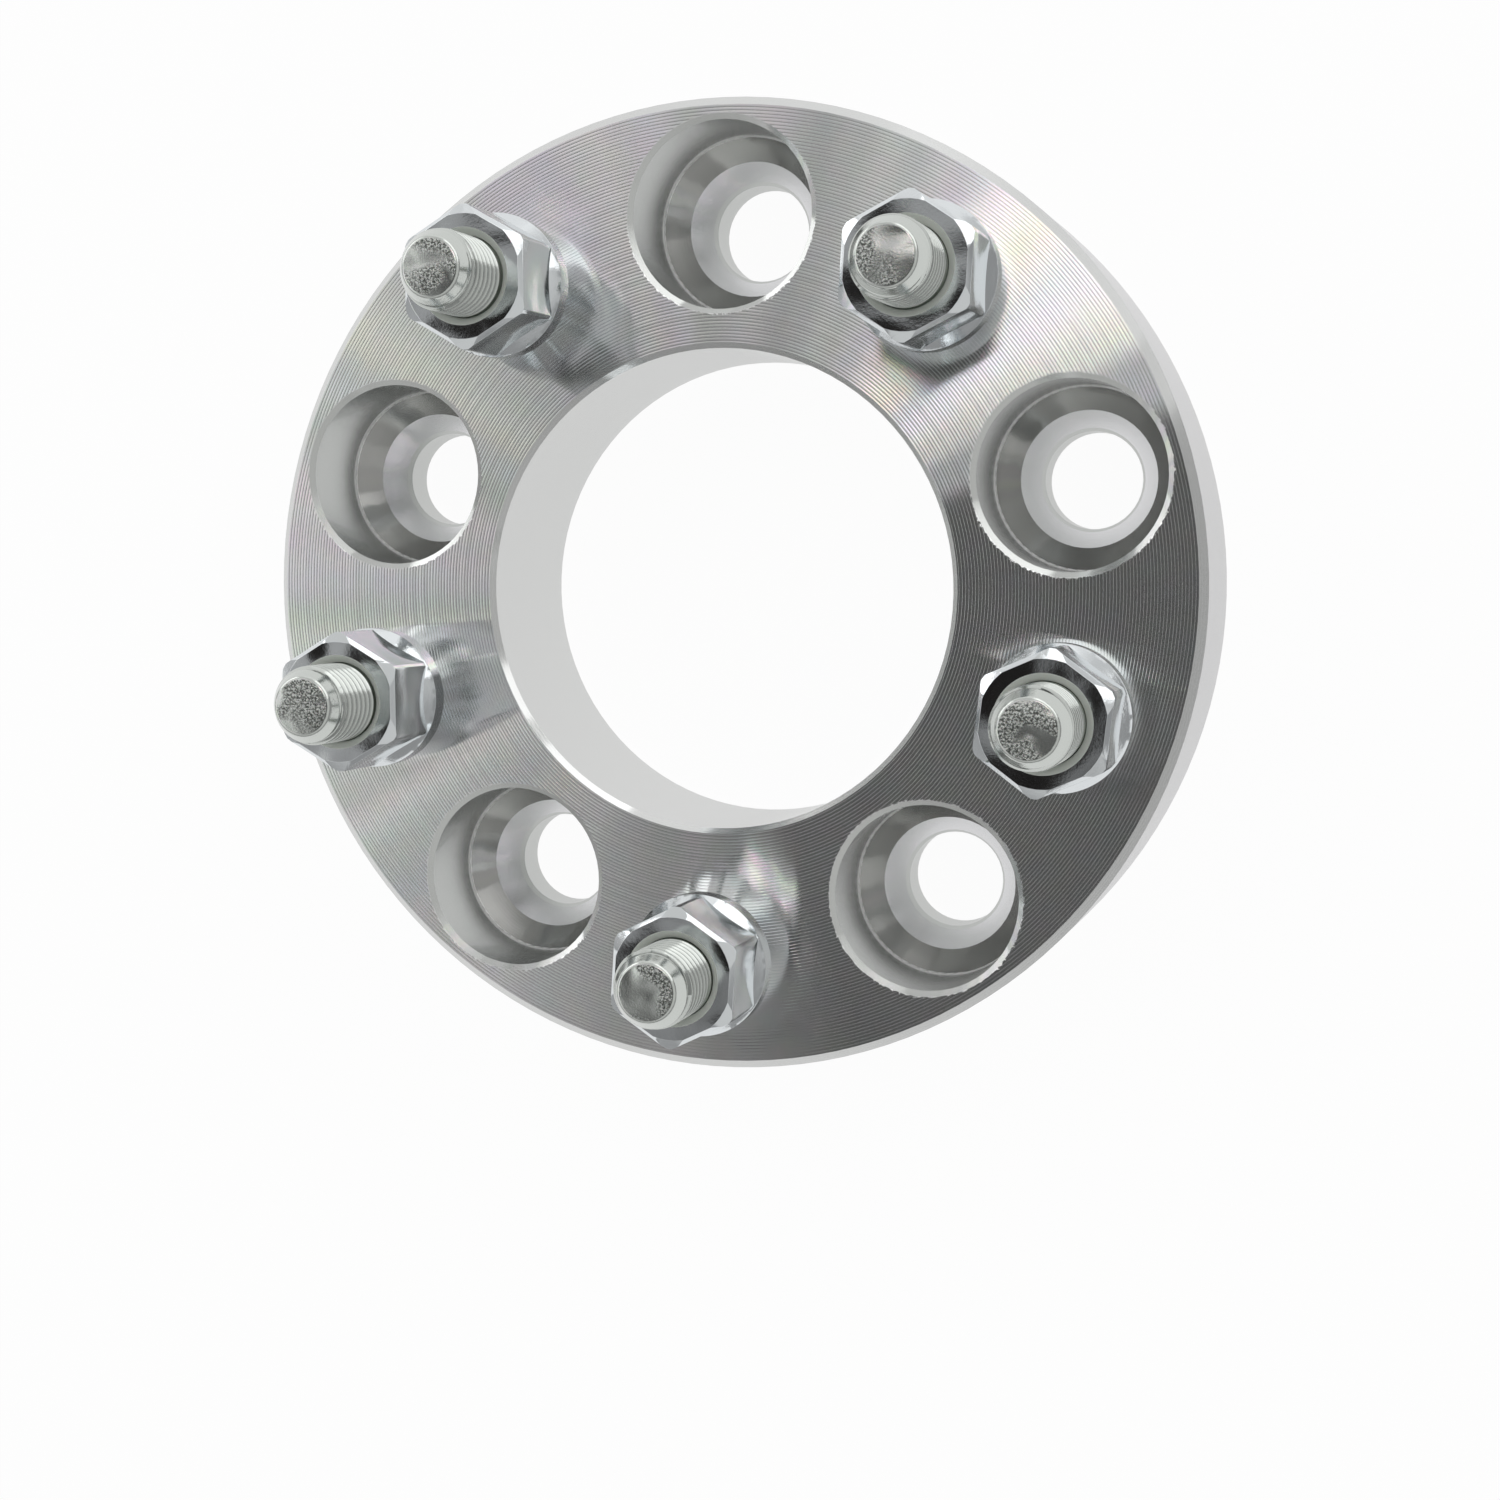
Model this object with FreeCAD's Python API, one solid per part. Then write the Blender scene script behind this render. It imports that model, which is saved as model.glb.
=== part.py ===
import FreeCAD, Part
import math
import os

# Bolt-on wheel spacer. A thick aluminium disc goes between a car's hub and its wheel.
# Nuts in its pockets hold it on the hub, and its own pressed-in studs carry the wheel.
# It lies on its hub face with the studs up, and a conical nut sits on each stud as shipped.
# The origin is the centre of the hub face. +Z points from the hub to the wheel.
# Lengths are in millimetres, angles in degrees.

# Bolt circle, shared by the studs and by the pockets midway between them
STATIONS = 5
PITCH_CIRCLE_D = 114.3
FIRST_STUD_ANGLE = 54.0

# Disc
THICKNESS = 30.0
RIM_WALL = 3.35             # metal between a pocket and the rim
BORE_WALL = 5.9             # metal between a pocket and the centre bore
RIM_CHAMFER = 1.3
BORE_CHAMFER = 0.8

# Pocket for a hub nut, from its hole outwards; heights are measured up from the hub face
HUB_HOLE_D = 15.3
HUB_HOLE_H = 6.6
HUB_HOLE_CHAMFER = 0.8
HOLE_BEVEL_W = 0.45
HOLE_BEVEL_H = 1.0
POCKET_SEAT_W = 2.5
POCKET_FLOOR_W = 3.65
POCKET_FLOOR_ANGLE = 100.0  # whole angle of the drill-like cone between seat and wall
POCKET_CORNER_R = 0.8
POCKET_MOUTH_CHAMFER = 0.75

# Wheel stud, pressed in from the hub side
STUD_D = 12.0
STUD_STANDOUT = 32.0        # above the wheel face
STUD_TIP_H = 2.8
STUD_TIP_ANGLE = 60.0
HEAD_LIP = 2.5              # how far the head reaches past the shank
HEAD_H = 4.5
HEAD_EDGE = 0.6
HEAD_SINK = 7.5             # from the hub face to the head
HEAD_ROOM = 0.75            # between the head and its counterbore
KNURL_TEETH = 30
KNURL_L = 9.0
KNURL_ROOT_STEP = 0.2       # from the shank out to the roots
KNURL_TOOTH_H = 0.3
STUD_ROOM = 0.1             # between the thread and the hole or nut around it
STUD_HOLE_CHAMFER = 0.5

# Open-ended conical nut
SEAT_ANGLE = 60.0           # whole angle of the nut's cone and of the pocket's nut seat
HEX_SIDES = 6
NUT_H = 20.4
NUT_WALL = 3.4              # between the bore and a flat of the hexagon
NUT_FOOT_WALL = 1.9         # between the bore and the small end of the cone
NUT_BORE_CHAMFER = 0.4
BAND_H = 3.0                # round band between the cone and the hexagon
SHOULDER_ANGLE = 45.0       # slope from the band up to the flats
CORNER_TRIM = 0.25          # turned off each corner of the hexagon
TOP_EDGE_CHAMFER = 0.6      # along the top edges of the flats
TOP_TURNED_W = 1.25         # slope turned on the top of each corner
TOP_TURNED_ANGLE = 30.0
COUNTERSINK_W = 1.1
NUT_TURNS = (27.0, 31.0, 31.0, 27.0, 24.0)  # where a corner of each tightened nut points

# How far a cutting tool runs past the face that it enters
OVERCUT = 2.0

# Sizes that follow from the ones above
STATION_STEP = 360.0 / STATIONS
PITCH_CIRCLE_R = PITCH_CIRCLE_D / 2
HUB_HOLE_R = HUB_HOLE_D / 2
SEAT_LOW_R = HUB_HOLE_R + HOLE_BEVEL_W
SEAT_HIGH_R = SEAT_LOW_R + POCKET_SEAT_W
POCKET_R = SEAT_HIGH_R + POCKET_FLOOR_W
DISC_R = PITCH_CIRCLE_R + POCKET_R + RIM_WALL
BORE_R = PITCH_CIRCLE_R - POCKET_R - BORE_WALL

SEAT_SLOPE = math.tan(math.radians(SEAT_ANGLE / 2))
FLOOR_SLOPE = math.tan(math.radians(POCKET_FLOOR_ANGLE / 2))
SEAT_LOW_Z = HUB_HOLE_H + HOLE_BEVEL_H
SEAT_HIGH_Z = SEAT_LOW_Z + POCKET_SEAT_W / SEAT_SLOPE
WALL_LOW_Z = SEAT_HIGH_Z + POCKET_FLOOR_W / FLOOR_SLOPE

STUD_R = STUD_D / 2
STUD_TOP_Z = THICKNESS + STUD_STANDOUT
TIP_R = STUD_R - STUD_TIP_H * math.tan(math.radians(STUD_TIP_ANGLE / 2))
HEAD_R = STUD_R + HEAD_LIP
HEAD_TOP_Z = HEAD_SINK + HEAD_H
KNURL_TOP_Z = HEAD_TOP_Z + KNURL_L
KNURL_ROOT_R = STUD_R + KNURL_ROOT_STEP
KNURL_TIP_R = KNURL_ROOT_R + KNURL_TOOTH_H
STUD_HOLE_R = STUD_R + STUD_ROOM

NUT_BORE_R = STUD_R + STUD_ROOM
NUT_FLAT_R = NUT_BORE_R + NUT_WALL
NUT_CORNER_R = NUT_FLAT_R / math.cos(math.pi / HEX_SIDES)
NUT_TURNED_R = NUT_CORNER_R - CORNER_TRIM
NUT_FOOT_R = NUT_BORE_R + NUT_FOOT_WALL
NUT_TOP_R = NUT_TURNED_R - TOP_TURNED_W
BAND_LOW_Z = (NUT_CORNER_R - NUT_FOOT_R) / SEAT_SLOPE
BAND_HIGH_Z = BAND_LOW_Z + BAND_H
SHOULDER_RISE = (NUT_CORNER_R - NUT_BORE_R) * math.tan(math.radians(SHOULDER_ANGLE))
TOP_DROP = TOP_TURNED_W * math.tan(math.radians(TOP_TURNED_ANGLE))


def rounded(before, corner, after, radius):
    """The arc that rounds a corner of an outline, tangent to both of its sides."""
    back = (before - corner).normalize()
    on = (after - corner).normalize()
    half_angle = back.getAngle(on) / 2
    inward = (back + on).normalize()
    start = corner + back * (radius / math.tan(half_angle))
    middle = corner + inward * (radius / math.sin(half_angle) - radius)
    end = corner + on * (radius / math.tan(half_angle))
    return Part.Arc(start, middle, end).toShape()


def turned(outline):
    """Turns a closed outline about Z: corners are (radius, height), or (radius, height, rounding)."""
    points = [FreeCAD.Vector(corner[0], 0, corner[1]) for corner in outline]
    arcs = {}
    for place, corner in enumerate(outline):
        if len(corner) == 3:
            after = points[(place + 1) % len(points)]
            arcs[place] = rounded(points[place - 1], points[place], after, corner[2])
    edges = []
    for place in range(len(points)):
        following = (place + 1) % len(points)
        start = arcs[place].Vertexes[-1].Point if place in arcs else points[place]
        end = arcs[following].Vertexes[0].Point if following in arcs else points[following]
        if place in arcs:
            edges.append(arcs[place])
        edges.append(Part.makeLine(start, end))
    section = Part.Face(Part.Wire(edges))
    return section.revolve(FreeCAD.Vector(), FreeCAD.Vector(0, 0, 1), 360)


def prism(corners, low, high):
    """Raises a closed outline of (x, y) corners from one height to another."""
    points = [FreeCAD.Vector(x, y, low) for x, y in corners]
    base = Part.Face(Part.makePolygon(points + points[:1]))
    return base.extrude(FreeCAD.Vector(0, 0, high - low))


def polar(radius, angle):
    """X and Y of a point on a circle about the Z axis."""
    turn = math.radians(angle)
    return radius * math.cos(turn), radius * math.sin(turn)


def at_station(shape, angle):
    """A copy of a shape, moved from the Z axis to its place on the bolt circle."""
    placed = shape.copy()
    x, y = polar(PITCH_CIRCLE_R, angle)
    placed.translate(FreeCAD.Vector(x, y, 0))
    return placed


def stud_angle(index):
    return FIRST_STUD_ANGLE + index * STATION_STEP


def pocket_angle(index):
    """Each pocket is midway between two studs."""
    return stud_angle(index) + STATION_STEP / 2


def knurl():
    """Straight teeth round the shank, from under the head up."""
    corners = []
    for tooth in range(KNURL_TEETH):
        angle = tooth * 360.0 / KNURL_TEETH
        corners.append(polar(KNURL_TIP_R, angle))
        corners.append(polar(KNURL_ROOT_R, angle + 180.0 / KNURL_TEETH))
    return prism(corners, HEAD_TOP_Z, KNURL_TOP_Z)


def disc_blank():
    """Turned ring with its rim and bore edges chamfered."""
    return turned([
        (BORE_R + BORE_CHAMFER, 0),
        (DISC_R - RIM_CHAMFER, 0),
        (DISC_R, RIM_CHAMFER),
        (DISC_R, THICKNESS - RIM_CHAMFER),
        (DISC_R - RIM_CHAMFER, THICKNESS),
        (BORE_R + BORE_CHAMFER, THICKNESS),
        (BORE_R, THICKNESS - BORE_CHAMFER),
        (BORE_R, BORE_CHAMFER),
    ])


def pocket_cutter():
    """Stepped pocket: hub stud's hole, conical nut seat, sloping floor and straight wall."""
    mouth_r = POCKET_R + POCKET_MOUTH_CHAMFER
    return turned([
        (0, -OVERCUT),
        (HUB_HOLE_R + HUB_HOLE_CHAMFER, -OVERCUT),
        (HUB_HOLE_R + HUB_HOLE_CHAMFER, 0),
        (HUB_HOLE_R, HUB_HOLE_CHAMFER),
        (HUB_HOLE_R, HUB_HOLE_H),
        (SEAT_LOW_R, SEAT_LOW_Z),
        (SEAT_HIGH_R, SEAT_HIGH_Z),
        (POCKET_R, WALL_LOW_Z, POCKET_CORNER_R),
        (POCKET_R, THICKNESS - POCKET_MOUTH_CHAMFER),
        (mouth_r, THICKNESS),
        (mouth_r, THICKNESS + OVERCUT),
        (0, THICKNESS + OVERCUT),
    ])


def stud_cutter():
    """Counterbore for the head, splines that the knurl presses, and the hole beyond them."""
    counterbore_r = HEAD_R + HEAD_ROOM
    stepped = turned([
        (0, -OVERCUT),
        (counterbore_r, -OVERCUT),
        (counterbore_r, HEAD_TOP_Z),
        (STUD_HOLE_R, HEAD_TOP_Z),
        (STUD_HOLE_R, THICKNESS - STUD_HOLE_CHAMFER),
        (STUD_HOLE_R + STUD_HOLE_CHAMFER, THICKNESS),
        (STUD_HOLE_R + STUD_HOLE_CHAMFER, THICKNESS + OVERCUT),
        (0, THICKNESS + OVERCUT),
    ])
    return stepped.fuse(knurl())


def make_disc():
    """One piece: the ring with its pockets and its stud holes."""
    pockets = [at_station(pocket_cutter(), pocket_angle(k)) for k in range(STATIONS)]
    stud_holes = [at_station(stud_cutter(), stud_angle(k)) for k in range(STATIONS)]
    return disc_blank().cut(pockets + stud_holes)


def make_stud():
    """One forged piece: head, knurl, shank and tapered tip. The thread is left plain."""
    plain = turned([
        (0, HEAD_SINK),
        (HEAD_R - HEAD_EDGE, HEAD_SINK),
        (HEAD_R, HEAD_SINK + HEAD_EDGE),
        (HEAD_R, HEAD_TOP_Z),
        (STUD_R, HEAD_TOP_Z),
        (STUD_R, STUD_TOP_Z - STUD_TIP_H),
        (TIP_R, STUD_TOP_Z),
        (0, STUD_TOP_Z),
    ])
    return plain.fuse(knurl()).removeSplitter()


def make_nut(turn):
    """Cone, round band and chamfered hexagon in one piece, standing on the wheel face."""
    foot = turned([
        (0, 0),
        (NUT_FOOT_R, 0),
        (NUT_CORNER_R, BAND_LOW_Z),
        (NUT_CORNER_R, BAND_HIGH_Z),
        (NUT_BORE_R, BAND_HIGH_Z + SHOULDER_RISE),
        (0, BAND_HIGH_Z + SHOULDER_RISE),
    ])
    corners = [polar(NUT_CORNER_R, turn + side * 360 / HEX_SIDES) for side in range(HEX_SIDES)]
    blank = prism(corners, BAND_LOW_Z, NUT_H)
    top_edges = [edge for edge in blank.Edges if edge.BoundBox.ZMin > blank.BoundBox.Center.z]
    hexagon = blank.makeChamfer(TOP_EDGE_CHAMFER, top_edges).common(turned([
        (0, BAND_LOW_Z),
        (NUT_TURNED_R, BAND_LOW_Z),
        (NUT_TURNED_R, NUT_H - TOP_DROP),
        (NUT_TOP_R, NUT_H),
        (0, NUT_H),
    ]))
    bore = turned([
        (0, -OVERCUT),
        (NUT_BORE_R + NUT_BORE_CHAMFER, -OVERCUT),
        (NUT_BORE_R + NUT_BORE_CHAMFER, 0),
        (NUT_BORE_R, NUT_BORE_CHAMFER),
        (NUT_BORE_R, NUT_H - COUNTERSINK_W),
        (NUT_BORE_R + COUNTERSINK_W, NUT_H),
        (NUT_BORE_R + COUNTERSINK_W, NUT_H + OVERCUT),
        (0, NUT_H + OVERCUT),
    ])
    nut = foot.fuse(hexagon).removeSplitter().cut(bore)
    nut.translate(FreeCAD.Vector(0, 0, THICKNESS))
    return nut


def export(shape, node):
    solid = shape.Solids[0]
    solid.exportStep("parts/" + node + ".step")


os.makedirs("parts", exist_ok=True)
export(make_disc(), "spacer_disc")
for index in range(STATIONS):
    number = str(index + 1)
    nut_turn = NUT_TURNS[index % len(NUT_TURNS)]
    export(at_station(make_stud(), stud_angle(index)), "wheel_stud_" + number)
    export(at_station(make_nut(nut_turn), stud_angle(index)), "lug_nut_" + number)
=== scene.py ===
import bmesh
import bpy
import math
from mathutils import Matrix, Vector


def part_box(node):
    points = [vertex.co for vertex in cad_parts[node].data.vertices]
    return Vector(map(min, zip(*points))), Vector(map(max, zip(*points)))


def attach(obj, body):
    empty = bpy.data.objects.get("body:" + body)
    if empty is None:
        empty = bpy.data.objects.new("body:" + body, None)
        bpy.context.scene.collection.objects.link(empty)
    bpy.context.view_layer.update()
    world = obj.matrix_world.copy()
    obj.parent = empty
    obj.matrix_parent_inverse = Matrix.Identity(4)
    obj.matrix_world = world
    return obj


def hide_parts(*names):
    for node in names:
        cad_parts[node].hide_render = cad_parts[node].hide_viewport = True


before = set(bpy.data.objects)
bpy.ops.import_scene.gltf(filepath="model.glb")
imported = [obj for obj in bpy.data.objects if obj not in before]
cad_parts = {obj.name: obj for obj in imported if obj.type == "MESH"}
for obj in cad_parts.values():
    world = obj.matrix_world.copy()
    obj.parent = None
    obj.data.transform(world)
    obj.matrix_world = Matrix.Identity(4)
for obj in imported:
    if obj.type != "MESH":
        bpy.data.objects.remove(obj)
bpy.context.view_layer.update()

# Camera
# The object lies on its hub face, because a disc can't stand on its rim. The camera looks down
# on it from the side and distance at which the photograph shows it.
eye = Vector((0.10923, 0.00617, 0.37527))
looks_at = Vector((0.00565, -0.02454, 0.030))
picture_up = Vector((-0.0346, 0.9963, -0.0782))
lens_mm = 56.26
nearest_seen = 0.01

view_line = (looks_at - eye).normalized()
picture_right = view_line.cross(picture_up).normalized()
picture_up = picture_right.cross(view_line)
turn = Matrix((picture_right, picture_up, -view_line)).transposed().to_4x4()
camera = bpy.data.objects.new("camera", bpy.data.cameras.new("camera"))
camera.matrix_world = Matrix.Translation(eye) @ turn
camera.data.lens = lens_mm
camera.data.clip_start = nearest_seen
bpy.context.scene.collection.objects.link(camera)
bpy.context.scene.camera = camera

# Spacer disc
# A slice of aluminium bar, faced and bored on a lathe, with milled pockets and reamed holes.
# Each cut leaves fine rings, about the disc's own axis or about the pocket's.
mm = 1000.0                 # sizes are in metres, apart from those whose names end in mm
stations = 5
station_step = 2 * math.pi / stations
first_pocket = math.radians(90)
disc_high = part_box("spacer_disc")[1]
nut_low, nut_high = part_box("lug_nut_3")
pitch_circle = ((nut_low + nut_high) / 2).xy.length
crease_angle = math.radians(28)
turned_crease_angle = math.radians(4)
same_place = 1e-7
near = 1e-5
corner_radius = 0.0139      # a pocket's rounded corner lies outside this and below this height
corner_height = 0.0156
flats_weight = 100          # of a hundred, how much the larger face sets the shading


def polar(radius, angle):
    return Vector((radius * math.cos(angle), radius * math.sin(angle)))


pockets = [polar(pitch_circle, first_pocket + number * station_step) for number in range(stations)]


def is_ring(edge, axis):
    """Whether an edge is part of a circle about an upright axis."""
    first, second = edge.verts
    same_radius = abs((first.co.xy - axis).length - (second.co.xy - axis).length) < near
    return same_radius and abs(first.co.z - second.co.z) < near


def is_crease(edge):
    """Whether two cuts meet at an edge, and not two facets of one round surface."""
    fold = edge.calc_face_angle(0)
    place = edge.verts[0].co
    pocket = min(pockets, key=lambda middle: (place.xy - middle).length)
    rounded = (place.xy - pocket).length > corner_radius and place.z < corner_height
    return fold > crease_angle or (fold > turned_crease_angle and is_ring(edge, pocket) and not rounded)


def add_piece(name, solid, material, node):
    """Makes an object of a bmesh. It rides on the body and stands for the node."""
    mesh = bpy.data.meshes.new(name)
    solid.to_mesh(mesh)
    solid.free()
    mesh.materials.append(material)
    piece = bpy.data.objects.new(name, mesh)
    bpy.context.scene.collection.objects.link(piece)
    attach(piece, "root")
    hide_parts(node)
    return piece


def keep_flats_flat(piece):
    """Lets large faces set the shading where they meet small rounded ones."""
    weighted = piece.modifiers.new("flats", "WEIGHTED_NORMAL")
    weighted.mode = "FACE_AREA"
    weighted.weight = flats_weight
    weighted.keep_sharp = True


def to_linear(hex_colour):
    """An sRGB hex colour as the linear colour that a socket takes."""
    channels = [int(hex_colour[place:place + 2], 16) / 255 for place in (1, 3, 5)]
    linear = [c / 12.92 if c <= 0.04045 else ((c + 0.055) / 1.055) ** 2.4 for c in channels]
    return (*linear, 1.0)


def new_material(name):
    material = bpy.data.materials.new(name)
    material.use_nodes = True
    material.node_tree.nodes.clear()
    return material, material.node_tree


def add_node(tree, kind, settings=None, links=None):
    """Adds a node. Settings are properties or socket values, and links give what feeds a socket.

    A number names a socket by its place. On a Mix node 0 is the share, 2 and 3 are its numbers,
    4 and 5 its vectors, and 6 and 7 its colours, of which output 2 is the mix.
    """
    node = tree.nodes.new(kind)
    for name, value in (settings or {}).items():
        if isinstance(name, int) or name in node.inputs:
            node.inputs[name].default_value = value
        else:
            setattr(node, name, value)
    for name, source in (links or {}).items():
        output = source.outputs[0] if isinstance(source, bpy.types.Node) else source
        tree.links.new(output, node.inputs[name])
    return node


def find_place(tree):
    """The surface's place on the object, in millimetres."""
    place = add_node(tree, "ShaderNodeTexCoord").outputs["Object"]
    return add_node(tree, "ShaderNodeVectorMath", {"operation": "SCALE", "Scale": mm}, {0: place})


def from_nearest_axis(tree, plan, first_angle):
    """The arm, in plan and millimetres, from the nearest of the stations' axes to the surface."""
    half_step_back = station_step / 2 - first_angle
    parts = add_node(tree, "ShaderNodeSeparateXYZ", links={0: plan}).outputs
    angle = add_node(tree, "ShaderNodeMath", {"operation": "ARCTAN2"}, {0: parts["Y"], 1: parts["X"]})
    from_edge = add_node(tree, "ShaderNodeMath", {"operation": "ADD", 1: half_step_back}, {0: angle})
    stepped = add_node(tree, "ShaderNodeMath", {"operation": "SNAP", 1: station_step}, {0: from_edge})
    station = add_node(tree, "ShaderNodeMath", {"operation": "ADD", 1: first_angle}, {0: stepped})
    axis = add_node(tree, "ShaderNodeVectorRotate",
                    {"rotation_type": "Z_AXIS", "Vector": (pitch_circle * mm, 0, 0)}, {"Angle": station})
    return add_node(tree, "ShaderNodeVectorMath", {"operation": "SUBTRACT"}, {0: plan, 1: axis})


# Turned aluminium: bright and grey-white. The rings spread each light into a fan across them
# and keep it sharp along them, so the disc is bright in one sector and dark in the next.
face_colour = "#dddedd"
# painted shade: the rim is a darker copy of the face's aluminium, for the shaded table that it mirrors
rim_painted_shade_colour = "#d2d2d3"
# painted shade: a pocket's cuts are a darker copy of the aluminium, for the shade inside the pocket
pocket_painted_shade_colour = "#d2d4d2"
# painted shade: a pocket's floor cone is a much darker copy of the aluminium
pocket_floor_painted_shade_colour = "#a9a9a7"
# painted light: a pocket's rounded corner is whiter than the aluminium, for a bright line there
corner_painted_light_colour = "#f8f8f8"
# painted light: a pocket's seat is whiter than the aluminium, to make it brighter
seat_painted_light_colour = "#f4f4f6"
face_roughness = 0.13
bore_roughness = 0.14
wall_roughness = 0.16
groove_mm = 0.5             # the real feed is 0.36 mm, too fine to show, so it is drawn coarser
face_groove_slope = 0.14
face_groove_lean = 0.03     # the least slope of a face groove, all of which leans outwards
wall_groove_slope = 0.03
rim_groove_slope = 0.10     # the rim was only skimmed, so its rings are deeper than a wall's
flank_share = 0.11          # of a groove's width, the steep side that faces inwards
flank_slope = 0.25
groove_middle = 0.5
ring_band_mm = 0.9          # rings of like depth come in bands about this wide
least_depth_share = 0.5     # of the mean depth, that of the faintest rings
ragged = {"Detail": 3.0, "Roughness": 0.7}
mouth_mm = 15.0             # the radius of a pocket's mouth
burr_size_mm = 0.45
burr_range_mm = 1.6         # from the burr's least reach to its widest
burr_back_mm = 0.72         # how much of that range lies inside the mouth, where nothing shows
burr_least_mm = 0.02
torn_slope = 0.6
chamfer_mm = 0.74           # the height of the mouth's chamfer
chamfer_slope = 0.27        # the file rounded the chamfer towards the face
hub_face_mm = 0.05          # up to this height is the hub face, where the rings are the disc's own
skin_mm = 0.06              # how near a surface is to the rim's radius to count as the rim
rim_mm = disc_high.x * mm - skin_mm
bore_mm = 40                # the disc's bore lies inside this radius
level_steepness = 0.99      # the upward share of a surface's normal, here and in the next three
floor_steepness = math.cos(math.radians(40))
seat_steepness = math.cos(math.radians(60))
corner_steepness = 0.38
cone_tolerance = 0.02
corner_tolerance = 0.28
corner_mm = 12.8            # the rounded corner lies outside this radius
corner_haze = 0.6           # its finish scatters more light than it mirrors
fringe_strength = 0.07
fringe_size_mm = 4.0

material, tree = new_material("turned_aluminium")
place_mm = find_place(tree)
plan = add_node(tree, "ShaderNodeVectorMath", {"operation": "MULTIPLY", 1: (1, 1, 0)}, {0: place_mm})
z_mm = add_node(tree, "ShaderNodeSeparateXYZ", links={0: place_mm}).outputs["Z"]
from_pocket = from_nearest_axis(tree, plan, first_pocket)
distance = add_node(tree, "ShaderNodeVectorMath", {"operation": "LENGTH"}, {0: from_pocket})
distance = distance.outputs["Value"]

# the mouth of a pocket was deburred by hand, so its bright edge is uneven
burr = add_node(tree, "ShaderNodeTexNoise", {"Scale": 1 / burr_size_mm, **ragged}, {"Vector": place_mm})
burr = add_node(tree, "ShaderNodeMath",
                {"operation": "MULTIPLY_ADD", 1: burr_range_mm, 2: -burr_back_mm}, {0: burr})
burr = add_node(tree, "ShaderNodeMath", {"operation": "MAXIMUM", 1: burr_least_mm}, {0: burr})
mouth = add_node(tree, "ShaderNodeMath", {"operation": "ADD", 1: mouth_mm}, {0: burr})
inside = add_node(tree, "ShaderNodeMath", {"operation": "LESS_THAN"}, {0: distance, 1: mouth})
above_hub = add_node(tree, "ShaderNodeMath", {"operation": "GREATER_THAN", 1: hub_face_mm}, {0: z_mm})
in_pocket = add_node(tree, "ShaderNodeMath", {"operation": "MULTIPLY"}, {0: inside, 1: above_hub})

# the arm from the axis that the surface was turned about, and the ways along and across its rings
arm = add_node(tree, "ShaderNodeMix", {"data_type": "VECTOR"},
               {0: in_pocket, 4: plan, 5: from_pocket}).outputs[1]
arm_mm = add_node(tree, "ShaderNodeVectorMath", {"operation": "LENGTH"}, {0: arm}).outputs["Value"]
outward = add_node(tree, "ShaderNodeVectorMath", {"operation": "NORMALIZE"}, {0: arm})
along = add_node(tree, "ShaderNodeVectorMath", {"operation": "CROSS_PRODUCT", 0: (0, 0, 1)}, {1: outward})
surface = add_node(tree, "ShaderNodeNewGeometry")
normal = surface.outputs["Normal"]
facet = surface.outputs["True Normal"]
across = add_node(tree, "ShaderNodeVectorMath", {"operation": "CROSS_PRODUCT"}, {0: along, 1: normal})

# the run of the tool across the rings, which is the same on flats, walls and cones
facet_up = add_node(tree, "ShaderNodeSeparateXYZ", links={0: facet}).outputs["Z"]
facet_out = add_node(tree, "ShaderNodeVectorMath",
                     {"operation": "DOT_PRODUCT"}, {0: facet, 1: outward}).outputs["Value"]
flat_run = add_node(tree, "ShaderNodeMath", {"operation": "MULTIPLY"}, {0: arm_mm, 1: facet_up})
wall_run = add_node(tree, "ShaderNodeMath", {"operation": "MULTIPLY"}, {0: z_mm, 1: facet_out})
run_mm = add_node(tree, "ShaderNodeMath", {"operation": "SUBTRACT"}, {0: flat_run, 1: wall_run})
grooves = add_node(tree, "ShaderNodeMath", {"operation": "DIVIDE", 1: groove_mm}, {0: run_mm})
groove = add_node(tree, "ShaderNodeMath", {"operation": "FRACT"}, {0: grooves})

# where each cut is: the face, the torn edge of a mouth, the rim, the bore and a pocket's chamfer
steepness = add_node(tree, "ShaderNodeMath", {"operation": "ABSOLUTE"}, {0: facet_up})
level = add_node(tree, "ShaderNodeMath", {"operation": "GREATER_THAN", 1: level_steepness}, {0: steepness})
torn = add_node(tree, "ShaderNodeMath", {"operation": "MULTIPLY"}, {0: level, 1: in_pocket})
face = add_node(tree, "ShaderNodeMath", {"operation": "SUBTRACT"}, {0: level, 1: torn})
on_rim = add_node(tree, "ShaderNodeMath", {"operation": "GREATER_THAN", 1: rim_mm}, {0: arm_mm})
outside = add_node(tree, "ShaderNodeMath", {"operation": "SUBTRACT", 0: 1.0}, {1: in_pocket})
in_bore = add_node(tree, "ShaderNodeMath", {"operation": "LESS_THAN", 1: bore_mm}, {0: arm_mm})
in_bore = add_node(tree, "ShaderNodeMath", {"operation": "MULTIPLY"}, {0: in_bore, 1: outside})
near_top = add_node(tree, "ShaderNodeMath",
                    {"operation": "GREATER_THAN", 1: disc_high.z * mm - chamfer_mm}, {0: z_mm})
chamfer = add_node(tree, "ShaderNodeMath", {"operation": "MULTIPLY"}, {0: near_top, 1: in_pocket})
chamfer = add_node(tree, "ShaderNodeMath", {"operation": "SUBTRACT"}, {0: chamfer, 1: torn})

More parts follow.
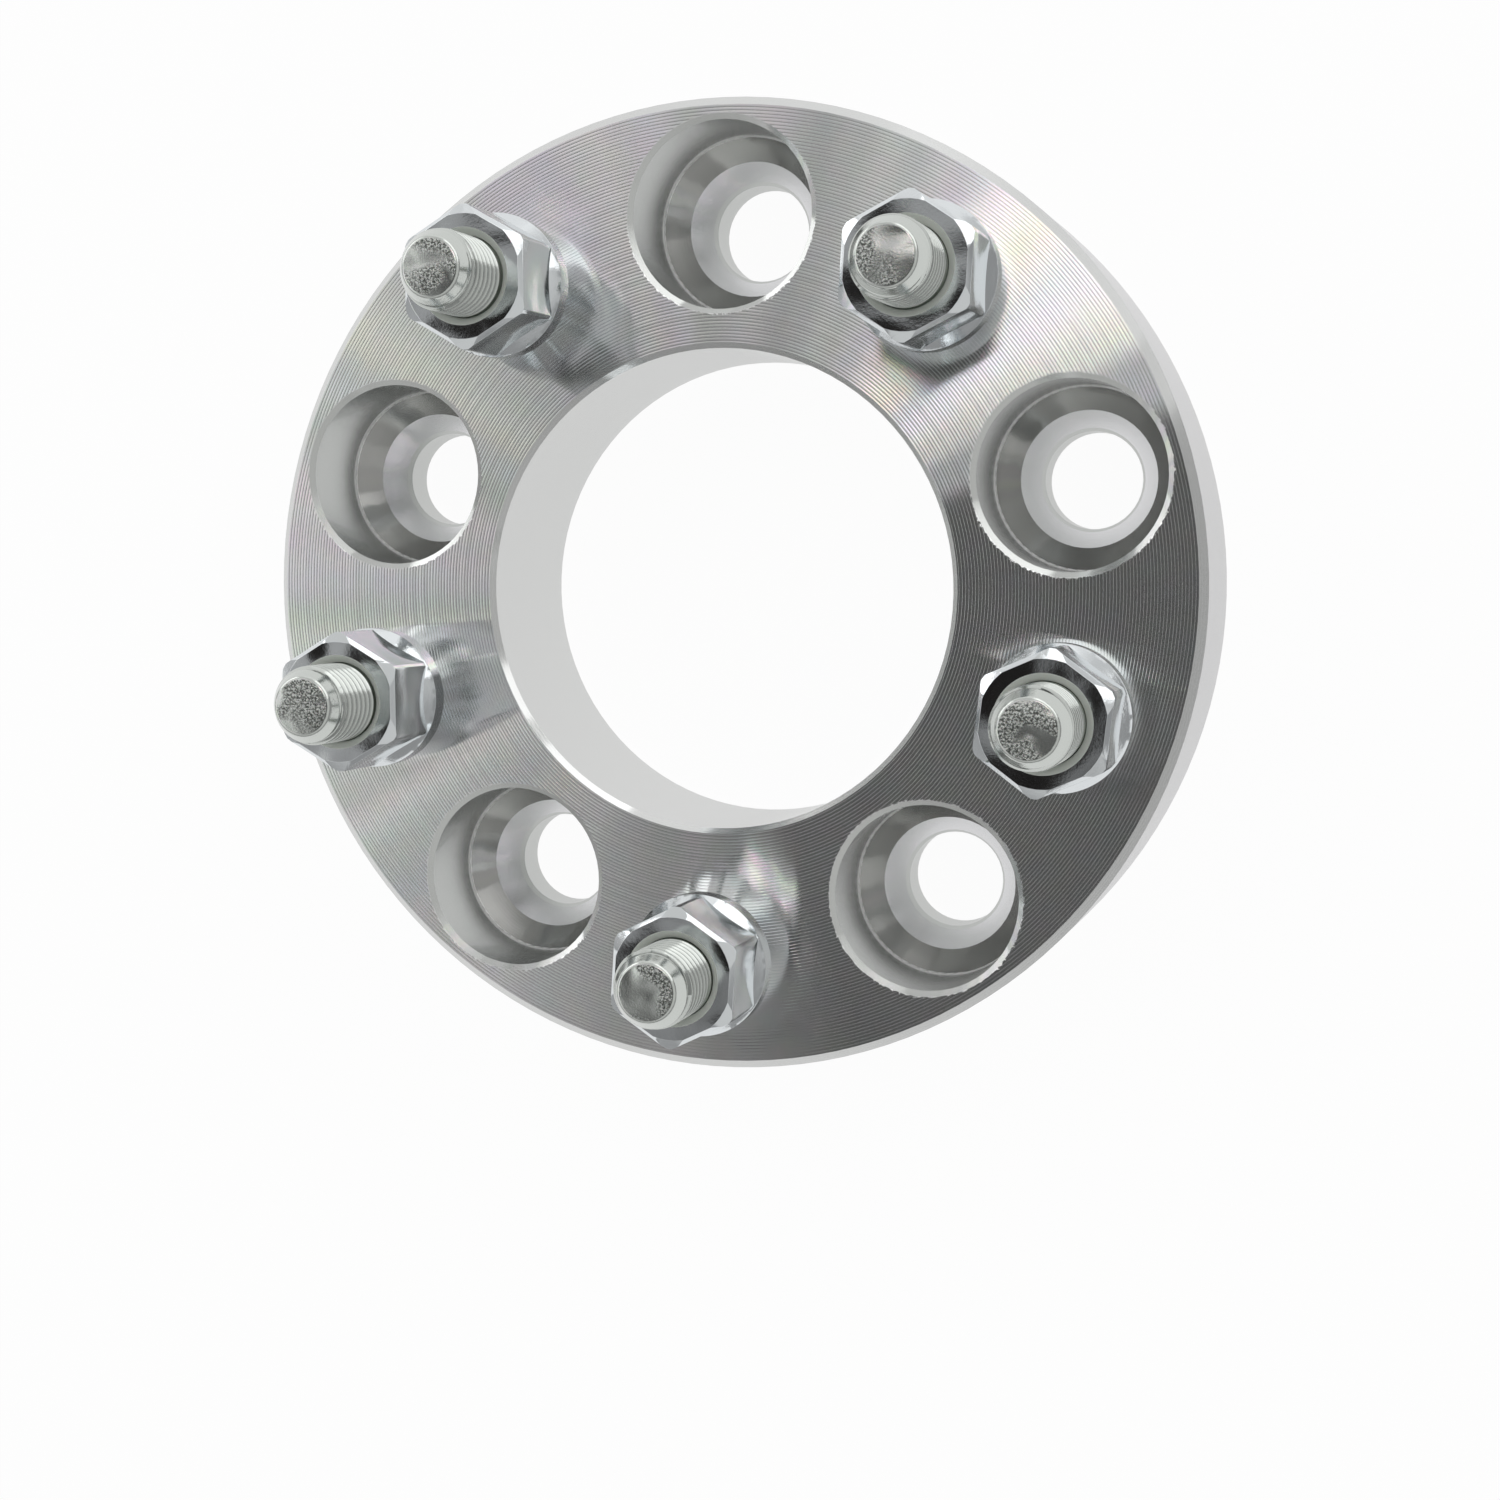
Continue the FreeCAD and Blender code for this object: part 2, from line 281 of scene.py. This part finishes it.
# a face groove leans outwards, and one on a wall or a cone is even
depth = add_node(tree, "ShaderNodeMix", {2: wall_groove_slope, 3: rim_groove_slope}, {0: on_rim})
depth = add_node(tree, "ShaderNodeMix", {3: face_groove_slope}, {0: face, 2: depth})
middle = add_node(tree, "ShaderNodeMix", {2: groove_middle, 3: -face_groove_lean / face_groove_slope},
                  {0: face})
centred = add_node(tree, "ShaderNodeMath", {"operation": "SUBTRACT"}, {0: groove, 1: middle})
ring_key = add_node(tree, "ShaderNodeCombineXYZ", links={"X": run_mm})
uneven = add_node(tree, "ShaderNodeTexNoise", {"Scale": 1 / ring_band_mm, **ragged}, {"Vector": ring_key})
uneven = add_node(tree, "ShaderNodeMath", {"operation": "ADD", 1: least_depth_share}, {0: uneven})
depth = add_node(tree, "ShaderNodeMath", {"operation": "MULTIPLY"}, {0: depth, 1: uneven})
slope = add_node(tree, "ShaderNodeMath", {"operation": "MULTIPLY"}, {0: centred, 1: depth})
on_flank = add_node(tree, "ShaderNodeMath", {"operation": "LESS_THAN", 1: flank_share}, {0: groove})
on_flank = add_node(tree, "ShaderNodeMath", {"operation": "MULTIPLY"}, {0: on_flank, 1: face})
for where, added_slope in ((on_flank, -flank_slope), (torn, -torn_slope), (chamfer, chamfer_slope)):
    slope = add_node(tree, "ShaderNodeMath", {"operation": "MULTIPLY_ADD", 1: added_slope},
                     {0: where, 2: slope})
tilt = add_node(tree, "ShaderNodeVectorMath", {"operation": "SCALE"}, {0: across, "Scale": slope})
tilted = add_node(tree, "ShaderNodeVectorMath", {"operation": "ADD"}, {0: normal, 1: tilt})
tilted = add_node(tree, "ShaderNodeVectorMath", {"operation": "NORMALIZE"}, {0: tilted})

# the two cones and the rounded corner of a pocket
cut_inside = add_node(tree, "ShaderNodeMath", {"operation": "SUBTRACT"}, {0: in_pocket, 1: torn})
on_floor = add_node(tree, "ShaderNodeMath",
                    {"operation": "COMPARE", 1: floor_steepness, 2: cone_tolerance}, {0: steepness})
on_floor = add_node(tree, "ShaderNodeMath", {"operation": "MULTIPLY"}, {0: on_floor, 1: in_pocket})
on_seat = add_node(tree, "ShaderNodeMath",
                   {"operation": "COMPARE", 1: seat_steepness, 2: cone_tolerance}, {0: steepness})
on_seat = add_node(tree, "ShaderNodeMath", {"operation": "MULTIPLY"}, {0: on_seat, 1: in_pocket})
in_corner = add_node(tree, "ShaderNodeMath",
                     {"operation": "COMPARE", 1: corner_steepness, 2: corner_tolerance}, {0: steepness})
wide = add_node(tree, "ShaderNodeMath", {"operation": "GREATER_THAN", 1: corner_mm}, {0: distance})
in_corner = add_node(tree, "ShaderNodeMath", {"operation": "MULTIPLY"}, {0: in_corner, 1: wide})
in_corner = add_node(tree, "ShaderNodeMath", {"operation": "MULTIPLY"}, {0: in_corner, 1: cut_inside})

# each cut has its own tool, so its own shine. The rim, a pocket's cuts and its floor get painted
# shade, and its corner and seat painted light. Rings as fine as the face's break light into faint colours
roughness = add_node(tree, "ShaderNodeMix", {2: wall_roughness, 3: bore_roughness}, {0: in_bore})
roughness = add_node(tree, "ShaderNodeMix", {3: face_roughness}, {0: face, 2: roughness})
metal = add_node(tree, "ShaderNodeMath",
                 {"operation": "MULTIPLY_ADD", 1: -corner_haze, 2: 1.0}, {0: in_corner})
hue = add_node(tree, "ShaderNodeMix",
               {"data_type": "RGBA", 6: to_linear(face_colour), 7: to_linear(rim_painted_shade_colour)},
               {0: on_rim}).outputs[2]
# painted shade and painted light over the pockets, their floors, corners and seats
for where, colour in ((cut_inside, pocket_painted_shade_colour), (on_floor, pocket_floor_painted_shade_colour), (in_corner, corner_painted_light_colour),
                      (on_seat, seat_painted_light_colour)):
    hue = add_node(tree, "ShaderNodeMix", {"data_type": "RGBA", 7: to_linear(colour)},
                   {0: where, 6: hue}).outputs[2]
fringes = add_node(tree, "ShaderNodeTexNoise", {"Scale": 1 / fringe_size_mm, "Detail": 1.5},
                   {"Vector": place_mm})
fringe_share = add_node(tree, "ShaderNodeMath", {"operation": "MULTIPLY", 1: fringe_strength}, {0: face})
hue = add_node(tree, "ShaderNodeMix", {"data_type": "RGBA"},
               {0: fringe_share, 6: hue, 7: fringes.outputs["Color"]}).outputs[2]
aluminium = add_node(tree, "ShaderNodeBsdfPrincipled", {
    "Anisotropic": 1.0,
}, {"Base Color": hue, "Metallic": metal, "Roughness": roughness, "Normal": tilted, "Tangent": across})
add_node(tree, "ShaderNodeOutputMaterial", links={"Surface": aluminium})

solid = bmesh.new()
solid.from_mesh(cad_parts["spacer_disc"].data)
bmesh.ops.remove_doubles(solid, verts=solid.verts, dist=same_place)
for edge in solid.edges:
    edge.smooth = not is_crease(edge)
for face in solid.faces:
    face.smooth = True
keep_flats_flat(add_piece("turned_disc", solid, material, "spacer_disc"))

# Wheel studs
# Forged steel with a rolled M12 x 1.5 thread and clear zinc plating, pressed into the disc from
# behind by a knurl. Head and knurl are as the part has them, and the thread is added here.
stud_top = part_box("wheel_stud_1")[1].z
seam_height = 0.033         # the thread begins here, inside the nut
thread_pitch = 0.0015
thread_depth = 0.00092
crest_radius = 0.006
crest_round = 0.00007
crest_half_width = 0.00005
rounded_half_width = 0.00013
flank_half_width = 0.00063
turn_steps = 72
spare_turns = 1.5
same_point = 1e-6
tip_height = 0.0028
tip_slope = math.tan(math.radians(30))
tip_radius = crest_radius - tip_height * tip_slope
edge_round = 0.0004
tip_cuts = (0.00006, 0.00014, 0.00024, 0.0004, 0.0008, 0.0012, 0.0016, 0.0020, 0.0024, 0.0028)
thread_starts = 0.0018      # the cuts and these two are measured down from the end face
thread_full = 0.0036
thread_turn = math.radians(84)      # the thread begins at another angle on each stud
thread_crease = math.radians(40)

root = crest_radius - thread_depth
thread_form = [(root, flank_half_width), (crest_radius - crest_round, rounded_half_width),
               (crest_radius, crest_half_width)]
rising = [(radius, thread_pitch / 2 - half_width) for radius, half_width in thread_form]
falling = [(radius, thread_pitch / 2 + half_width) for radius, half_width in reversed(thread_form)]
profile = [(root, 0.0)] + rising + falling + [(root, thread_pitch)]
turn_count = int((stud_top - seam_height) / thread_pitch + 2 * spare_turns)

shank = bmesh.new()
points = [shank.verts.new((radius, 0, height)) for radius, height in profile]
edges = [shank.edges.new(pair) for pair in zip(points, points[1:])]
bmesh.ops.spin(shank, geom=points + edges, cent=(0, 0, 0), axis=(0, 0, 1),
               dvec=(0, 0, thread_pitch / turn_steps), angle=2 * math.pi * turn_count,
               steps=turn_steps * turn_count, use_merge=False, use_duplicate=False)
bmesh.ops.remove_doubles(shank, verts=shank.verts, dist=same_point)
bmesh.ops.translate(shank, verts=shank.verts, vec=(0, 0, seam_height - spare_turns * thread_pitch))
for height, outward_z in ((seam_height, -1), (stud_top, 1)):
    everything = shank.verts[:] + shank.edges[:] + shank.faces[:]
    bmesh.ops.bisect_plane(shank, geom=everything, plane_co=(0, 0, height), plane_no=(0, 0, outward_z),
                           clear_outer=True)
for below_top in tip_cuts:
    everything = shank.verts[:] + shank.edges[:] + shank.faces[:]
    bmesh.ops.bisect_plane(shank, geom=everything, plane_co=(0, 0, stud_top - below_top),
                           plane_no=(0, 0, 1))

# the thread runs out towards the cone of the tip, whose edge is rounded
# how deep into the thread's root a point lies, which the material paints darker as shade
root_share = shank.verts.layers.float.new("root")
for vertex in shank.verts:
    below_top = stud_top - vertex.co.z
    reach = vertex.co.xy.length
    envelope = min(crest_radius, tip_radius + below_top * tip_slope)
    if below_top < edge_round:
        envelope -= edge_round - math.sqrt(edge_round ** 2 - (edge_round - below_top) ** 2)
    cut = min(1.0, max(0.0, (below_top - thread_starts) / (thread_full - thread_starts)))
    wanted = envelope - (crest_radius - reach) * cut
    vertex[root_share] = (crest_radius - reach) / thread_depth * cut
    vertex.co.x *= wanted / reach
    vertex.co.y *= wanted / reach
bmesh.ops.holes_fill(shank, edges=[edge for edge in shank.edges if edge.is_boundary], sides=0)
bmesh.ops.recalc_face_normals(shank, faces=shank.faces)
shank_mesh = bpy.data.meshes.new("shank")
shank.to_mesh(shank_mesh)
shank.free()

# Zinc plating: a pale grey-green shine. The sheared end face is left rough, so it is mottled, and the
# thread's root is painted darker, as shade.
zinc_colour = "#ced2ce"
# the stain of the end face's specks, also used as painted shade in the thread's root
stain_and_shade_colour = "#525652"
thread_roughness = 0.15
end_roughness = 0.25
painted_root_shade = 0.6          # how far the thread's root is painted darker, as shade, towards the stain's colour
end_skin_mm = 0.02          # how near a surface is to the top to count as the end face
dent_size_mm = 5.0
dent_height = 0.0008
torn_range = (0.42, 0.53)   # of the dents' pattern, where the face starts to be torn and where it all is
least_torn = 0.06
speck_size_mm = 0.33
speck_height = 0.00025
speck_range = (0.56, 0.44)  # of the specks' pattern, where the stain starts and where it is full
torn_relief = 0.6
least_relief = 0.06

material, tree = new_material("zinc_plated_thread")
place_mm = find_place(tree)
z_mm = add_node(tree, "ShaderNodeSeparateXYZ", links={0: place_mm}).outputs["Z"]
end_face = add_node(tree, "ShaderNodeMath",
                    {"operation": "GREATER_THAN", 1: stud_top * mm - end_skin_mm}, {0: z_mm})
specks = add_node(tree, "ShaderNodeTexNoise", {"Scale": 1 / speck_size_mm, **ragged}, {"Vector": place_mm})
dents = add_node(tree, "ShaderNodeTexNoise", {"Scale": 1 / dent_size_mm, "Detail": 0.5, "Distortion": 0.5},
                 {"Vector": place_mm})
torn_patch = add_node(tree, "ShaderNodeMapRange", {
    "From Min": torn_range[0],
    "From Max": torn_range[1],
    "To Min": least_torn,
}, {"Value": dents})
torn_patch = add_node(tree, "ShaderNodeMath", {"operation": "MULTIPLY"}, {0: torn_patch, 1: end_face})
stain_and_shade = add_node(tree, "ShaderNodeMapRange", {"From Min": speck_range[0], "From Max": speck_range[1]},
                 {"Value": specks})
stain_and_shade = add_node(tree, "ShaderNodeMath", {"operation": "MULTIPLY"}, {0: stain_and_shade, 1: torn_patch})
in_root = add_node(tree, "ShaderNodeAttribute", {"attribute_name": "root"}).outputs["Fac"]
# painted shade: the deeper into the thread's root, the darker the plating is painted
root_painted_shade = add_node(tree, "ShaderNodeMath", {"operation": "MULTIPLY", 1: painted_root_shade}, {0: in_root})
stain_and_shade = add_node(tree, "ShaderNodeMath", {"operation": "MAXIMUM"}, {0: stain_and_shade, 1: root_painted_shade})
colour = add_node(tree, "ShaderNodeMix",
                  {"data_type": "RGBA", 6: to_linear(zinc_colour), 7: to_linear(stain_and_shade_colour)},
                  {0: stain_and_shade}).outputs[2]
relief = add_node(tree, "ShaderNodeMath",
                  {"operation": "MULTIPLY_ADD", 1: torn_relief, 2: least_relief}, {0: torn_patch})
dented = add_node(tree, "ShaderNodeBump", {"Distance": dent_height},
                  {"Height": dents, "Strength": end_face})
bumps = add_node(tree, "ShaderNodeBump", {"Distance": speck_height},
                 {"Height": specks, "Strength": relief, "Normal": dented})
roughness = add_node(tree, "ShaderNodeMix", {2: thread_roughness, 3: end_roughness}, {0: end_face})
plating = add_node(tree, "ShaderNodeBsdfPrincipled", {
    "Metallic": 1.0,
}, {"Base Color": colour, "Roughness": roughness, "Normal": bumps})
add_node(tree, "ShaderNodeOutputMaterial", links={"Surface": plating})

for number in range(1, stations + 1):
    node = "wheel_stud_%d" % number
    low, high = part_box(node)
    stud = bmesh.new()
    stud.from_mesh(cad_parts[node].data)
    bmesh.ops.remove_doubles(stud, verts=stud.verts, dist=same_place)
    everything = stud.verts[:] + stud.edges[:] + stud.faces[:]
    bmesh.ops.bisect_plane(stud, geom=everything, plane_co=(0, 0, seam_height), plane_no=(0, 0, 1),
                           clear_outer=True)
    bmesh.ops.holes_fill(stud, edges=[edge for edge in stud.edges if edge.is_boundary], sides=0)
    placed = shank_mesh.copy()
    axis = (low + high) / 2
    axis.z = 0
    placed.transform(Matrix.Translation(axis) @ Matrix.Rotation(thread_turn * number, 4, "Z"))
    stud.from_mesh(placed)
    bpy.data.meshes.remove(placed)
    for face in stud.faces:
        face.smooth = True
    piece = add_piece("threaded_stud_%d" % number, stud, material, node)
    piece.data.set_sharp_from_angle(angle=thread_crease)
bpy.data.meshes.remove(shank_mesh)

# Lug nuts
# Cold-forged conical nuts in bright zinc. Forging leaves soft edges and faint pits, and the
# plating mirrors the light and dark sides of the room.
edge_width = 0.00022
edge_segments = 3
soft_below = math.radians(50)
bevelled_above = math.radians(25)
flat_within = math.radians(0.5)
bore_reach = 0.0072         # the wide end of the countersink round the bore
top_reach = 0.0092
top_lean = math.radians(30)
top_facets = 48
turned_corner_fold = (math.radians(17), math.radians(40))
turned_corner_height = 0.0009


def is_soft(edge, top):
    """Whether forging rounded an edge. The crescents and the turned corners of the top are crisp."""
    fold = edge.calc_face_angle(0)
    turned = fold > turned_corner_fold[0] and fold < turned_corner_fold[1]
    on_top = min(vertex.co.z for vertex in edge.verts) > top - turned_corner_height
    return edge.is_convex and fold < soft_below and not (turned and on_top)


# Bright zinc: a bluish mirror, dulled here and there by pits a few tenths of a millimetre wide.
nut_colour = "#e2e6e8"
countersink_colour = "#f2f7f0"
nut_roughness = 0.1
countersink_roughness = 0.4
countersink_haze = 0.9      # the plating is matt there, and scatters light
top_dome = math.tan(math.radians(1.7))      # the flat is a little rounded, which the shader gives it
wave_size_mm = 9.0
wave_height = 0.0009
pit_size_mm = 0.45
pit_height = 0.00008
pit_strength = 0.12

material, tree = new_material("bright_zinc_nut")
place_mm = find_place(tree)
plan = add_node(tree, "ShaderNodeVectorMath", {"operation": "MULTIPLY", 1: (1, 1, 0)}, {0: place_mm})
from_axis = from_nearest_axis(tree, plan, first_pocket + station_step / 2)
reach = add_node(tree, "ShaderNodeVectorMath", {"operation": "LENGTH"}, {0: from_axis}).outputs["Value"]
dome = add_node(tree, "ShaderNodeMath", {"operation": "MULTIPLY", 1: -top_dome}, {0: reach})
waves = add_node(tree, "ShaderNodeTexNoise", {"Scale": 1 / wave_size_mm, "Detail": 0.5},
                 {"Vector": place_mm})
pits = add_node(tree, "ShaderNodeTexNoise", {"Scale": 1 / pit_size_mm, "Detail": 4.0, "Roughness": 0.65},
                {"Vector": place_mm})
domed = add_node(tree, "ShaderNodeBump", {"Strength": 1.0, "Distance": 1 / mm}, {"Height": dome})
waved = add_node(tree, "ShaderNodeBump", {"Strength": 1.0, "Distance": wave_height},
                 {"Height": waves, "Normal": domed})
pitted = add_node(tree, "ShaderNodeBump", {"Strength": pit_strength, "Distance": pit_height},
                  {"Height": pits, "Normal": waved})
sunk = add_node(tree, "ShaderNodeMath", {"operation": "LESS_THAN", 1: (bore_reach + near) * mm}, {0: reach})
metal = add_node(tree, "ShaderNodeMath",
                 {"operation": "MULTIPLY_ADD", 1: -countersink_haze, 2: 1.0}, {0: sunk})
colour = add_node(tree, "ShaderNodeMix",
                  {"data_type": "RGBA", 6: to_linear(nut_colour), 7: to_linear(countersink_colour)},
                  {0: sunk}).outputs[2]
roughness = add_node(tree, "ShaderNodeMix", {2: nut_roughness, 3: countersink_roughness}, {0: sunk})
plating = add_node(tree, "ShaderNodeBsdfPrincipled", links={
    "Base Color": colour,
    "Metallic": metal,
    "Roughness": roughness,
    "Normal": pitted,
})
add_node(tree, "ShaderNodeOutputMaterial", links={"Surface": plating})

for number in range(1, stations + 1):
    node = "lug_nut_%d" % number
    low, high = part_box(node)
    axis = ((low + high) / 2).xy
    nut = bmesh.new()
    nut.from_mesh(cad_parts[node].data)
    bmesh.ops.remove_doubles(nut, verts=nut.verts, dist=same_place)
    bmesh.ops.dissolve_limit(nut, angle_limit=flat_within, verts=nut.verts, edges=nut.edges)
    for step in range(top_facets):
        out = polar(1, step * 2 * math.pi / top_facets)
        everything = nut.verts[:] + nut.edges[:] + nut.faces[:]
        bmesh.ops.bisect_plane(nut, geom=everything, plane_co=(*(axis + out * top_reach), high.z),
                               plane_no=(*(out * math.sin(top_lean)), math.cos(top_lean)), clear_outer=True)
        bmesh.ops.holes_fill(nut, edges=[edge for edge in nut.edges if edge.is_boundary], sides=0)
    rings = [edge for edge in nut.edges if edge.is_convex and is_ring(edge, axis)
             and edge.calc_face_angle(0) > bevelled_above]
    bmesh.ops.bevel(nut, geom=rings, offset=edge_width, offset_type="OFFSET", affect="EDGES",
                    segments=edge_segments, profile=0.5, material=-1, clamp_overlap=True)
    for edge in nut.edges:
        edge.smooth = is_soft(edge, high.z)
    for face in nut.faces:
        face.smooth = True
    keep_flats_flat(add_piece("forged_nut_%d" % number, nut, material, node))

# Table
# A pale matt table top. The camera and the metal see it white, and it keeps the soft shadow.
table_colour = "#f6f6f6"
table_reach = 3.0            # from its middle to each side
table_gap = 0.0002
white_for_camera = 0.96
white_for_metal = 0.72

table = bmesh.new()
bmesh.ops.create_grid(table, x_segments=1, y_segments=1, size=table_reach)
bmesh.ops.translate(table, verts=table.verts, vec=(0, 0, -table_gap))
table_mesh = bpy.data.meshes.new("table")
table.to_mesh(table_mesh)
table.free()
floor = bpy.data.objects.new("table", table_mesh)
bpy.context.scene.collection.objects.link(floor)

material, tree = new_material("pale_matt_table")
path = add_node(tree, "ShaderNodeLightPath").outputs
reflected = add_node(tree, "ShaderNodeMath", {"operation": "MAXIMUM"},
                     {0: path["Is Glossy Ray"], 1: path["Is Transmission Ray"]})
reflected = add_node(tree, "ShaderNodeMath", {"operation": "MULTIPLY", 1: white_for_metal}, {0: reflected})
seen = add_node(tree, "ShaderNodeMath", {"operation": "MULTIPLY", 1: white_for_camera},
                {0: path["Is Camera Ray"]})
share = add_node(tree, "ShaderNodeMath", {"operation": "MAXIMUM"}, {0: seen, 1: reflected})
matt = add_node(tree, "ShaderNodeBsdfDiffuse", {"Color": to_linear(table_colour)})
white = add_node(tree, "ShaderNodeEmission", {"Color": (1, 1, 1, 1), "Strength": 1.0})
mixed = add_node(tree, "ShaderNodeMixShader", links={0: share, 1: matt, 2: white})
add_node(tree, "ShaderNodeOutputMaterial", links={"Surface": mixed})
table_mesh.materials.append(material)

# Studio
# A plain room laid out round the camera, which the level face mirrors: the camera's dark stand, a
# curtain and a bright window beside it, and pale walls. Directions are given by their X and Y.
camera_seen = -(eye - Vector((0, 0, disc_high.z))).normalized()
# the greys of each near the camera, beside it (divided by the gain) and low down
stand = ("#787878", "#303030", "#989898")
curtain = ("#888888", "#989898", "#a8a8a8")
window_pane = ("#888888", "#e0e0e0", "#d0d0d0")
lit_wall = ("#a0a0a0", "#909090", "#ffffff")
side_wall = ("#989898", "#a0a0a0", "#e8e8e8")
back_wall = ("#a8a8a8", "#b0b0b0", "#a8a8a8")
# bearing round the mirrored camera in degrees, and what stands there
room = [(0, stand), (22, stand), (23, curtain), (30, curtain), (31, window_pane), (50, window_pane),
        (65, lit_wall), (95, lit_wall), (97, side_wall), (120, side_wall), (165, back_wall),
        (200, back_wall), (290, stand)]
full_circle = 359.9
window_gain = 2.5
window_near = (0.28, 0.38)
window_far = (0.60, 0.72)
cloud_scale = 16.0
cloud_range = (0.3, 0.7)
cloud_light = (0.55 * window_gain, 1.45 * window_gain)
cloud_tint = (5, 5, 5)
wall_colour = "#d4d4d3"
low_wall_height = (0.5, 0.2)
overhead_height = 0.5
body_colour = "#1d1b1a"     # of the camera, which the face mirrors too
body_middle = (0.05, 0, 0)
body_reach = (0.19, 0.165, 1)
body_edge = (1.05, 0.95)

world = bpy.data.worlds.new("studio")
bpy.context.scene.world = world
world.use_nodes = True
tree = world.node_tree
tree.nodes.clear()
way = add_node(tree, "ShaderNodeTexCoord").outputs["Generated"]
way_z = add_node(tree, "ShaderNodeSeparateXYZ", links={0: way}).outputs["Z"]
plan = add_node(tree, "ShaderNodeVectorMath", {"operation": "SUBTRACT", 1: (*camera_seen.xy, 0)}, {0: way})
plan = add_node(tree, "ShaderNodeVectorMath", {"operation": "MULTIPLY", 1: (1, 1, 0)}, {0: plan})
plan_x, plan_y = add_node(tree, "ShaderNodeSeparateXYZ", links={0: plan}).outputs[:2]
reach = add_node(tree, "ShaderNodeVectorMath", {"operation": "LENGTH"}, {0: plan}).outputs["Value"]
bearing = add_node(tree, "ShaderNodeMath", {"operation": "ARCTAN2"}, {0: plan_y, 1: plan_x})
circle = add_node(tree, "ShaderNodeMath", {"operation": "DIVIDE", 1: 2 * math.pi}, {0: bearing})
circle = add_node(tree, "ShaderNodeMath", {"operation": "FRACT"}, {0: circle})
near_it, beside_it, low_wall = [add_node(tree, "ShaderNodeValToRGB", links={0: circle})
                                for ramp in range(3)]
for place, (degrees, colours) in enumerate(room + [(full_circle, stand)]):
    for node, colour in zip((near_it, beside_it, low_wall), colours):
        stops = node.color_ramp.elements
        stop = stops[place] if place < 2 else stops.new(degrees / 360)
        stop.position = degrees / 360
        stop.color = to_linear(colour)

# the window is clouded, and the clouds are faintly tinted where it is bright
clouds = add_node(tree, "ShaderNodeTexNoise", {"Scale": cloud_scale, "Detail": 1.0, "Distortion": 0.6},
                  {"Vector": plan})
clouded = add_node(tree, "ShaderNodeMapRange", {
    "From Min": cloud_range[0],
    "From Max": cloud_range[1],
    "To Min": cloud_light[0],
    "To Max": cloud_light[1],
}, {"Value": clouds})
window = add_node(tree, "ShaderNodeVectorMath", {"operation": "SCALE"}, {0: beside_it, "Scale": clouded})
glow = add_node(tree, "ShaderNodeVectorMath", {"operation": "MULTIPLY"}, {0: beside_it, 1: beside_it})
tint = add_node(tree, "ShaderNodeVectorMath", {"operation": "SUBTRACT", 1: (0.5, 0.5, 0.5)},
                {0: clouds.outputs["Color"]})
tint = add_node(tree, "ShaderNodeVectorMath", {"operation": "MULTIPLY"}, {0: tint, 1: glow})
tint = add_node(tree, "ShaderNodeVectorMath", {"operation": "MULTIPLY_ADD", 1: cloud_tint, 2: (1, 1, 1)},
                {0: tint})
window = add_node(tree, "ShaderNodeVectorMath", {"operation": "MULTIPLY"}, {0: window, 1: tint})

# from near the mirrored camera outwards, then down the walls, with the camera itself on top
beside, past = [add_node(tree, "ShaderNodeMapRange", {"From Min": start, "From Max": end}, {"Value": reach})
                for start, end in (window_near, window_far)]
low = add_node(tree, "ShaderNodeMapRange", {"From Min": low_wall_height[0], "From Max": low_wall_height[1]},
               {"Value": way_z})
body = add_node(tree, "ShaderNodeVectorMath", {"operation": "SUBTRACT", 1: body_middle}, {0: plan})
body = add_node(tree, "ShaderNodeVectorMath", {"operation": "DIVIDE", 1: body_reach}, {0: body})
body = add_node(tree, "ShaderNodeVectorMath", {"operation": "LENGTH"}, {0: body}).outputs["Value"]
on_body = add_node(tree, "ShaderNodeMapRange", {"From Min": body_edge[0], "From Max": body_edge[1]},
                   {"Value": body})
overhead = add_node(tree, "ShaderNodeMath", {"operation": "GREATER_THAN", 1: overhead_height}, {0: way_z})
on_body = add_node(tree, "ShaderNodeMath", {"operation": "MULTIPLY"}, {0: on_body, 1: overhead})
studio = add_node(tree, "ShaderNodeMix", {"data_type": "RGBA"},
                  {0: beside, 6: near_it, 7: window}).outputs[2]
studio = add_node(tree, "ShaderNodeMix", {"data_type": "RGBA", 7: to_linear(wall_colour)},
                  {0: past, 6: studio}).outputs[2]
studio = add_node(tree, "ShaderNodeMix", {"data_type": "RGBA"}, {0: low, 6: studio, 7: low_wall}).outputs[2]
studio = add_node(tree, "ShaderNodeMix", {"data_type": "RGBA", 7: to_linear(body_colour)},
                  {0: on_body, 6: studio}).outputs[2]
path = add_node(tree, "ShaderNodeLightPath").outputs
lit = add_node(tree, "ShaderNodeBackground", {"Strength": 1.0}, {"Color": studio})
white = add_node(tree, "ShaderNodeBackground", {"Color": (1, 1, 1, 1), "Strength": 1.0})
mixed = add_node(tree, "ShaderNodeMixShader", links={0: path["Is Camera Ray"], 1: lit, 2: white})
add_node(tree, "ShaderNodeOutputWorld", links={"Surface": mixed})

# name, direction, distance, width, height and power of each lamp
lamps = [("key_softbox", (-0.80, 0.50, 0.30), 1.4, 0.9, 0.4, 1.5),
         ("overhead_softbox", (0.50, 0.72, 0.47), 1.3, 1.4, 0.8, 3.0)]
for name, way, distance, width, height, power in lamps:
    lamp = bpy.data.objects.new(name, bpy.data.lights.new(name, "AREA"))
    lamp.data.shape = "RECTANGLE"
    lamp.data.size = width
    lamp.data.size_y = height
    lamp.data.energy = power
    lamp.location = Vector(way).normalized() * distance
    lamp.rotation_euler = Vector(way).to_track_quat("Z", "Y").to_euler()
    bpy.context.scene.collection.objects.link(lamp)

bpy.context.scene.view_settings.view_transform = "Standard"
